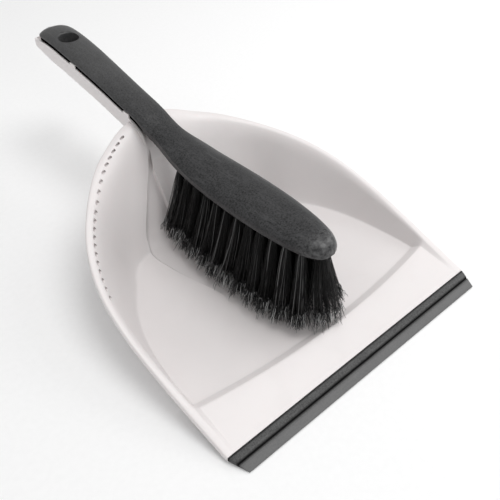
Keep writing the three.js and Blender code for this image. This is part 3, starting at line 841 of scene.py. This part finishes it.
PAN_DARK = (0.77, 0.732, 0.727, 1)
PAN_LIGHT = (0.8, 0.762, 0.757, 1)
PAN_SMUDGE = (0.42, 0.38, 0.36, 1)
PAN_SCRATCH = (0.8, 0.78, 0.78, 1)
# painted shade for the pan's corners and grooves
PAN_PAINTED_SHADE = (0.42, 0.385, 0.38, 1)
RUBBER_DARK = grey(0.045)
RUBBER_LIGHT = grey(0.07)
# painted light for the strip's outer band
RUBBER_PAINTED_LIGHT = grey(0.19)
# painted shade for the strip's groove and its joint with the plastic
RUBBER_PAINTED_SHADE = grey(0.006)
BRUSH_DARK = (0.012, 0.012, 0.0125, 1)
BRUSH_LIGHT = (0.032, 0.032, 0.033, 1)
# painted sheen for the grip
BRUSH_PAINTED_SHEEN = grey(0.13)
# painted highlight for the nose, laid on in scuffed patches
BRUSH_NOSE_HIGHLIGHT = grey(0.16)
# painted shadow for the gap between the handles
GAP_PAINTED_SHADOW = grey(0.002)
BRISTLE_BLACK = grey(0.005)
BRISTLE_PALE = grey(0.24)
BRISTLE_END = (0.62, 0.62, 0.615, 1)
PAPER_DARK = grey(0.93)
PAPER_LIGHT = grey(0.95)

# Along the object, in metres from the drawing's y = 0
PAINTED_SHEEN_YS = (0.19, 0.27)  # the brush is painted paler from the first to the second, a painted sheen
GROOVE_Y = -0.0062
# where the strip's outer band gets its painted light
PAINTED_LIGHT_BAND_YS = (-0.0066, -0.009)
# the painted shade along the joint with the plastic fades from the second to the first
JOINT_YS = (-0.0016, -0.0006)
# Distances, in metres
NOSE_WEAR_AND_HIGHLIGHT = (0.004, 0.018)  # how far behind the nose the wear and the painted highlight are full, and where they end
# how far from the groove's middle its painted shade is full, and where it ends
GROOVE_SHADE_WIDTHS = (0.0003, 0.0016)


def material(name):
    """A new material, its node tree and its main shader."""
    made = bpy.data.materials.new(name)
    made.use_nodes = True
    tree = made.node_tree
    tree.nodes.clear()
    shader = tree.nodes.new("ShaderNodeBsdfPrincipled")
    output = tree.nodes.new("ShaderNodeOutputMaterial")
    tree.links.new(shader.outputs["BSDF"], output.inputs["Surface"])
    return made, tree, shader


def feed(tree, socket, value):
    """Gives a socket another node's output, or a constant."""
    if isinstance(value, bpy.types.NodeSocket):
        tree.links.new(value, socket)
    else:
        socket.default_value = value


def node(tree, kind, settings=None, **inputs):
    """A node with its settings and its inputs, which are given by name, or as i0, i1 and so on."""
    made = tree.nodes.new(kind)
    for key, value in (settings or {}).items():
        setattr(made, key, value)
    for key, value in inputs.items():
        numbered = key[0] == "i" and key[1:].isdigit()
        feed(tree, made.inputs[int(key[1:]) if numbered else key], value)
    return made


def attribute(tree, name):
    return node(tree, "ShaderNodeAttribute", {"attribute_name": name}).outputs["Fac"]


def math_node(tree, operation, first, second=0):
    made = node(tree, "ShaderNodeMath", {"operation": operation}, i0=first, i1=second)
    return made.outputs[0]


def noise(tree, where, scale, detail=3, roughness=0.55):
    return node(tree, "ShaderNodeTexNoise", Vector=where, Scale=scale, Detail=detail,
                Roughness=roughness).outputs["Fac"]


def spread(tree, value, low, high, to_low, to_high):
    """Maps low to to_low and high to to_high, and holds still beyond them."""
    return node(tree, "ShaderNodeMapRange", None, i0=value, i1=low, i2=high, i3=to_low,
                i4=to_high).outputs["Result"]


def blend(tree, factor, first, second):
    """The first colour where factor is 0, and the second where it is 1."""
    made = node(tree, "ShaderNodeMix", {"data_type": "RGBA"}, i0=factor, i6=first, i7=second)
    return made.outputs[2]


def bump(tree, height, strength, distance, normal=None):
    made = node(tree, "ShaderNodeBump", Height=height, Strength=strength, Distance=distance)
    if normal:
        tree.links.new(normal, made.inputs["Normal"])
    return made.outputs["Normal"]


def painted_corner_shade(tree, distance, low, high):
    """1 on open surfaces, falling towards 0 in the object's own corners and grooves, where it
    paints shade.
    """
    made = node(tree, "ShaderNodeAmbientOcclusion", {"samples": 8, "only_local": True},
                Distance=distance)
    return spread(tree, made.outputs["AO"], low, high, 0, 1)


def pan_plastic():
    """Off-white plastic, faintly smudged and scratched, with painted shade darkening its corners.
    """
    made, tree, shader = material("pan_plastic")
    where = node(tree, "ShaderNodeTexCoord").outputs["Object"]
    broad = noise(tree, where, 14, 4)
    fine = noise(tree, where, 1500, 2)
    stretched = node(tree, "ShaderNodeMapping", Vector=where, Scale=(60, 900, 60)).outputs["Vector"]
    scratches = spread(tree, noise(tree, stretched, 1, 3), 0.66, 0.74, 0, 1)
    smudges = spread(tree, noise(tree, where, 42, 5, 0.65), 0.52, 0.78, 0, 1)
    colour = blend(tree, spread(tree, broad, 0.3, 0.7, 0, 1), PAN_DARK, PAN_LIGHT)
    colour = blend(tree, spread(tree, smudges, 0, 1, 0, 0.05), colour, PAN_SMUDGE)
    colour = blend(tree, spread(tree, scratches, 0, 1, 0, 0.04), colour, PAN_SCRATCH)
    # painted shade: corners and grooves are darkened as if shade fell there
    colour = blend(tree, painted_corner_shade(tree, 0.003, 0.35, 0.8), PAN_PAINTED_SHADE, colour)
    tree.links.new(colour, shader.inputs["Base Color"])
    rough = node(tree, "ShaderNodeMath", {"operation": "MULTIPLY_ADD"}, i0=smudges, i1=0.1,
                 i2=spread(tree, broad, 0.3, 0.7, 0.3, 0.37)).outputs[0]
    tree.links.new(rough, shader.inputs["Roughness"])
    normal = bump(tree, fine, 0.06, 0.0002)
    normal = bump(tree, scratches, 0.05, 0.0001, normal)
    tree.links.new(normal, shader.inputs["Normal"])
    shader.inputs["Specular IOR Level"].default_value = 0.45
    shader.inputs["Subsurface Weight"].default_value = 0.04
    shader.inputs["Subsurface Radius"].default_value = (0.004, 0.003, 0.003)
    shader.inputs["Subsurface Scale"].default_value = 0.5
    return made


def grained(name, dark, light, rough_low, rough_high, contrast, grain, shadow):
    """A matt moulded plastic or rubber, mottled, streaked along its length and finely grained.

    shadow takes the tree, the place and the colour, and returns the colour with painted shade and
    painted light added, how dull it is and how worn and shiny it is.
    """
    made, tree, shader = material(name)
    where = node(tree, "ShaderNodeTexCoord").outputs["Object"]
    broad = noise(tree, where, 80, 5, 0.7)
    mottle = noise(tree, where, 850, 4, 0.75)
    along_it = node(tree, "ShaderNodeMapping", Vector=where, Scale=grain).outputs["Vector"]
    streaks = noise(tree, along_it, 1, 4, 0.65)
    speckle = noise(tree, where, 1900, 3, 0.7)
    pale = [c * 2.2 for c in light[:3]] + [1]
    colour = blend(tree, spread(tree, broad, 0.3, 0.7, 0, 1), dark, light)
    colour = blend(tree, spread(tree, mottle, 0.42, 0.72, 0, 0.7 * contrast), colour, pale)
    deep = [c * 0.5 for c in dark[:3]] + [1]
    colour = blend(tree, spread(tree, mottle, 0.5, 0.34, 0, contrast), colour, deep)
    colour = blend(tree, spread(tree, streaks, 0.52, 0.74, 0, 0.6 * contrast), colour, pale)
    colour = blend(tree, spread(tree, speckle, 0.5, 0.75, 0, 0.3), colour, pale)
    colour, dull, shine = shadow(tree, where, colour)
    tree.links.new(spread(tree, dull, 0, 1, 0.27, 0), shader.inputs["Specular IOR Level"])
    tree.links.new(colour, shader.inputs["Base Color"])
    rough = spread(tree, mottle, 0.3, 0.7, rough_low, rough_high)
    rough = math_node(tree, "MULTIPLY", rough, spread(tree, shine, 0, 1, 1, 0.5))
    tree.links.new(rough, shader.inputs["Roughness"])
    normal = bump(tree, mottle, 0.25 * contrast, 0.0004)
    tree.links.new(bump(tree, speckle, 0.2, 0.0002, normal), shader.inputs["Normal"])
    return made


def gap_shadow(tree, where, colour):
    """Paints a black shadow into the gap over the pan's handle. The grip is painted paler towards
    its end, a painted sheen, and the nose is less rough, with paler scuffed patches painted on as
    its highlight.
    """
    gap_painted_shadow = attribute(tree, "gap_painted_shadow")
    y = node(tree, "ShaderNodeSeparateXYZ", Vector=where).outputs["Y"]
    # painted sheen: the grip turns paler towards its end
    painted_sheen = spread(tree, y, SHIFT + PAINTED_SHEEN_YS[0], SHIFT + PAINTED_SHEEN_YS[1], 0, 0.28)
    colour = blend(tree, painted_sheen, colour, BRUSH_PAINTED_SHEEN)
    nose = SHIFT + HEAD_FRONT_Y * MM
    # painted highlight: the nose is painted paler in scuffed patches, and is also made less rough
    painted_light_mask = spread(tree, y, nose + NOSE_WEAR_AND_HIGHLIGHT[0], nose + NOSE_WEAR_AND_HIGHLIGHT[1], 1, 0)
    highlight_scuffs = spread(tree, noise(tree, where, 260, 4, 0.7), 0.4, 0.62, 0, 0.5)
    colour = blend(tree, math_node(tree, "MULTIPLY", painted_light_mask, highlight_scuffs), colour, BRUSH_NOSE_HIGHLIGHT)
    # painted shadow: the gap faces turn black and lose their specular through the dull value
    return blend(tree, gap_painted_shadow, colour, GAP_PAINTED_SHADOW), gap_painted_shadow, painted_light_mask


def strip_bands(tree, where, colour):
    """The strip's outer band is painted paler, a painted light. Painted shade darkens its groove
    and the joint along the plastic.
    """
    y = node(tree, "ShaderNodeSeparateXYZ", Vector=where).outputs["Y"]
    # painted light: the outer band is made paler
    painted_light_mask = spread(tree, y, SHIFT + PAINTED_LIGHT_BAND_YS[0], SHIFT + PAINTED_LIGHT_BAND_YS[1], 0, 0.6)
    colour = blend(tree, painted_light_mask, colour, RUBBER_PAINTED_LIGHT)
    # painted shade: the groove and the joint with the plastic are darkened and lose their specular
    away = math_node(tree, "ABSOLUTE", math_node(tree, "SUBTRACT", y, SHIFT + GROOVE_Y))
    groove = spread(tree, away, *GROOVE_SHADE_WIDTHS, 0.9, 0)
    joint = spread(tree, y, SHIFT + JOINT_YS[0], SHIFT + JOINT_YS[1], 0, 0.9)
    dull = math_node(tree, "MAXIMUM", groove, joint)
    return blend(tree, dull, colour, RUBBER_PAINTED_SHADE), dull, 0


def bristle_material():
    """Black filaments, a few of them paler, with grey split ends."""
    made, tree, shader = material("bristle")
    shade = attribute(tree, "shade")
    where = node(tree, "ShaderNodeTexCoord").outputs["Object"]
    dusty = spread(tree, noise(tree, where, 70, 3), 0.4, 0.6, 0.1, 1)
    tip = spread(tree, attribute(tree, "along"), 0.8, 0.92, 0, 1)
    tip = math_node(tree, "MULTIPLY", tip, dusty)
    tip = math_node(tree, "MULTIPLY", tip, spread(tree, shade, 0.75, 0.85, 0.02, 1))
    body = blend(tree, spread(tree, shade, 0.6, 1, 0, 1), BRISTLE_BLACK, BRISTLE_PALE)
    colour = blend(tree, tip, body, BRISTLE_END)
    tree.links.new(colour, shader.inputs["Base Color"])
    tree.links.new(spread(tree, shade, 0, 1, 0.35, 0.55), shader.inputs["Roughness"])
    fine = noise(tree, where, 2500, 2)
    tree.links.new(bump(tree, fine, 0.1, 0.0001), shader.inputs["Normal"])
    shader.inputs["Specular IOR Level"].default_value = 0.3
    return made


# ---------------------------------------------------------------- the object
PAN = pan_plastic()
RUBBER = grained("lip_rubber", RUBBER_DARK, RUBBER_LIGHT, 0.5, 0.65, 0.7, (40, 420, 420),
                 strip_bands)
BRUSH = grained("brush_plastic", BRUSH_DARK, BRUSH_LIGHT, 0.26, 0.46, 1, (420, 50, 420),
                gap_shadow)
BRISTLE = bristle_material()

finish_piece(dustpan_body(), "pan", "dustpan", PAN, ["dustpan_body"])
finish_piece(rubber_lip(), "strip", "dustpan", RUBBER, ["rubber_lip"])
places = tuft_places()
back = brush_body(places)
mark_gap_shadow(back)
finish_piece(back, "brush_back", "brush", BRUSH, ["brush_body"])
for label, x, y, lean in places:
    tuft = bristles(x, y, lean, NOSE_FAN if label == "nose" else (1, 1))
    finish_piece(tuft, f"bristles_{label}", "brush", BRISTLE, [f"tuft_{label}"],
                 sharp=0)

# ---------------------------------------------------------------- stage, light and camera
FLOOR_SIZE = 6
FLOOR_Z = -0.0002
CAMERA_PLACE = (-223.73, -145.23, 326.31)  # in the drawing's frame, millimetres
CAMERA_TARGET = (0.44, 103.59, 19.56)
CAMERA_LENS = 46.8
SENSOR_WIDTH = 36
# Each light's name, place, target, size, and power in watts
LIGHTS = (("key", (0.35, -0.2, 1.3), (0, 0, 0.03), 0.9, 7.6),
          ("side", (1.15, -0.25, 0.75), (0, 0, 0.05), 0.9, 4),
          ("front", (-0.3, -1.2, 0.7), (0, 0, 0.05), 0.6, 1.6))
WORLD_STRENGTH = 0.56


def stage_floor():
    half = FLOOR_SIZE / 2
    corners = ((-half, -half), (half, -half), (half, half), (-half, half))
    mesh = bpy.data.meshes.new("stage_floor")
    mesh.from_pydata([(x, y, FLOOR_Z) for x, y in corners], [], [(0, 1, 2, 3)])
    floor = bpy.data.objects.new("stage_floor", mesh)
    bpy.context.scene.collection.objects.link(floor)
    made, tree, shader = material("stage_paper")
    where = node(tree, "ShaderNodeTexCoord").outputs["Object"]
    fibres = noise(tree, where, 260, 4)
    colour = blend(tree, spread(tree, fibres, 0.3, 0.7, 0, 1), PAPER_DARK, PAPER_LIGHT)
    tree.links.new(colour, shader.inputs["Base Color"])
    shader.inputs["Roughness"].default_value = 0.9
    mesh.materials.append(made)


def area_light(name, location, target, size, power):
    light = bpy.data.lights.new(name, "AREA")
    light.shape = "DISK"
    light.size = size
    light.energy = power
    obj = bpy.data.objects.new(name, light)
    obj.location = location
    obj.rotation_euler = (Vector(target) - Vector(location)).to_track_quat("-Z", "Y").to_euler()
    bpy.context.scene.collection.objects.link(obj)


def world_light(strength):
    world = bpy.data.worlds.new("studio")
    world.use_nodes = True
    background = world.node_tree.nodes["Background"]
    background.inputs["Color"].default_value = (1, 1, 1, 1)
    background.inputs["Strength"].default_value = strength
    bpy.context.scene.world = world


def in_row_frame(place):
    return Vector(place) * MM + Vector((0, SHIFT, 0))


def camera():
    data = bpy.data.cameras.new("camera")
    data.lens = CAMERA_LENS
    data.sensor_width = SENSOR_WIDTH
    obj = bpy.data.objects.new("camera", data)
    obj.location = in_row_frame(CAMERA_PLACE)
    target = in_row_frame(CAMERA_TARGET)
    obj.rotation_euler = (target - obj.location).to_track_quat("-Z", "Y").to_euler()
    bpy.context.scene.collection.objects.link(obj)
    bpy.context.scene.camera = obj


stage_floor()
for light in LIGHTS:
    area_light(*light)
world_light(WORLD_STRENGTH)
camera()
bpy.context.scene.view_settings.view_transform = "Standard"
